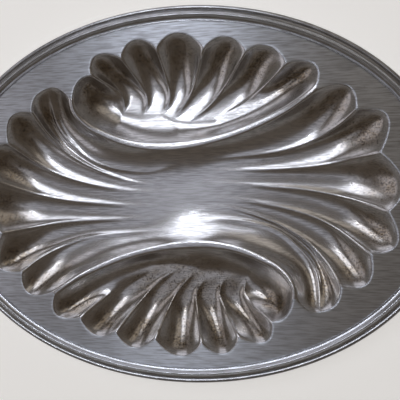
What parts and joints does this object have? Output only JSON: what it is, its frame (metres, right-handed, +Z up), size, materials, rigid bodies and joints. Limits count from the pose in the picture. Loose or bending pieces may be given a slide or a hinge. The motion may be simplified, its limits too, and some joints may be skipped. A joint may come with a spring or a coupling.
{
  "type": "serving platter",
  "caption": "Oval silver-plate serving platter pressed as an S scroll of shell flutes, with side bowls and a long fluted well inside a flat flange, a soldered border moulding and an edge bead.",
  "frame": {"origin": "on the surface that the platter rests on, under the middle of the oval", "axes": "+X along the long axis of the oval, +Y across it towards the bowl that the picture shows at the top, +Z up"},
  "size_m": [0.41, 0.3, 0.0249],
  "materials": {
    "pressed_plate": "worn silver plate",
    "border_strip": "worn silver plate",
    "edge_wire": "worn silver plate",
    "soft_solder": "satin"
  },
  "bodies": {
    "root": {"fluted_dish": "pressed_plate", "border_moulding_upper": "border_strip", "border_moulding_lower": "border_strip", "edge_bead": "edge_wire", "solder_run": "soft_solder"}
  },
  "joints": []
}
